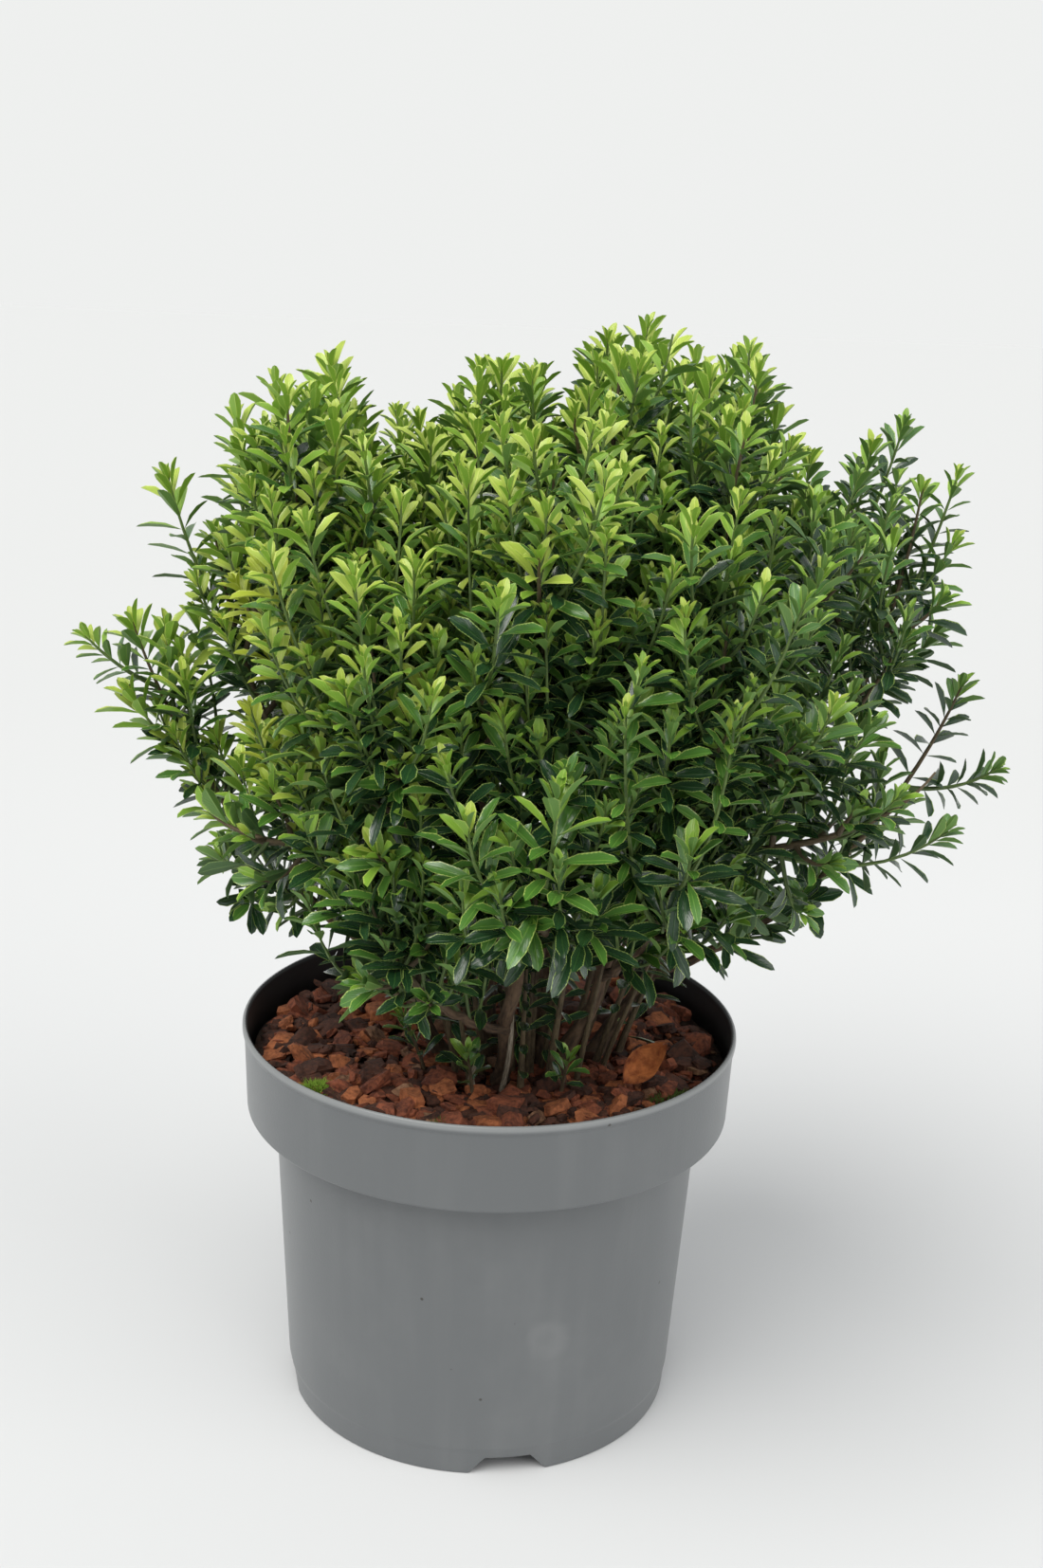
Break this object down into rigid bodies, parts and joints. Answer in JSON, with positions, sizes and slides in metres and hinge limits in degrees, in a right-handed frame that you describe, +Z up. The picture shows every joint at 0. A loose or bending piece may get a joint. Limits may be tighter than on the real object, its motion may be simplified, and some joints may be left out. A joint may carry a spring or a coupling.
{
  "type": "potted evergreen shrub",
  "caption": "Dense evergreen shrub of upright leafy shoots on slim stems, growing from bark mulch in a round plastic nursery pot that stands on its flat underside.",
  "frame": {"origin": "centre of the pot's flat underside", "axes": "+Z up from the underside to the crown, -Y towards the front of the plant, +X to its right as seen from the front"},
  "size_m": [0.452, 0.3662, 0.5409],
  "materials": {
    "pot": "matte mid-grey plastic with faint water spots, inside near black",
    "mulch": "loose reddish-brown bark chips over compost",
    "bark": "finely ridged tan-brown bark",
    "foliage": "glossy dark green leaves with lime-green young tips"
  },
  "bodies": {
    "root": {"bough_fill_1": "bark", "bough_fill_2": "bark", "bough_fill_3": "bark", "bough_fill_4": "bark", "bough_fill_5": "bark", "bough_fill_6": "bark", "bough_low_1": "bark", "bough_low_2": "bark", "bough_low_3": "bark", "bough_low_4": "bark", "bough_low_5": "bark", "bough_low_6": "bark", "bough_mid_1": "bark", "bough_mid_2": "bark", "bough_mid_3": "bark", "bough_mid_4": "bark", "bough_mid_5": "bark", "bough_mid_6": "bark", "foliage_fill_1": "foliage", "foliage_fill_2": "foliage", "foliage_fill_3": "foliage", "foliage_fill_4": "foliage", "foliage_fill_5": "foliage", "foliage_fill_6": "foliage", "foliage_low_1": "foliage", "foliage_low_2": "foliage", "foliage_low_3": "foliage", "foliage_low_4": "foliage", "foliage_low_5": "foliage", "foliage_low_6": "foliage", "foliage_mid_1": "foliage", "foliage_mid_2": "foliage", "foliage_mid_3": "foliage", "foliage_mid_4": "foliage", "foliage_mid_5": "foliage", "foliage_mid_6": "foliage", "foliage_top_1": "foliage", "foliage_top_2": "foliage", "foliage_top_3": "foliage", "foliage_upper_1": "foliage", "foliage_upper_2": "foliage", "foliage_upper_3": "foliage", "foliage_upper_4": "foliage", "foliage_upper_5": "foliage", "foliage_upper_6": "foliage", "mulch_bed": "mulch", "pot": "pot", "stem_1": "bark", "stem_2": "bark", "stem_3": "bark", "stem_4": "bark", "stem_5": "bark", "stem_6": "bark", "stem_7": "bark", "stem_8": "bark", "stem_9": "bark"}
  },
  "joints": []
}
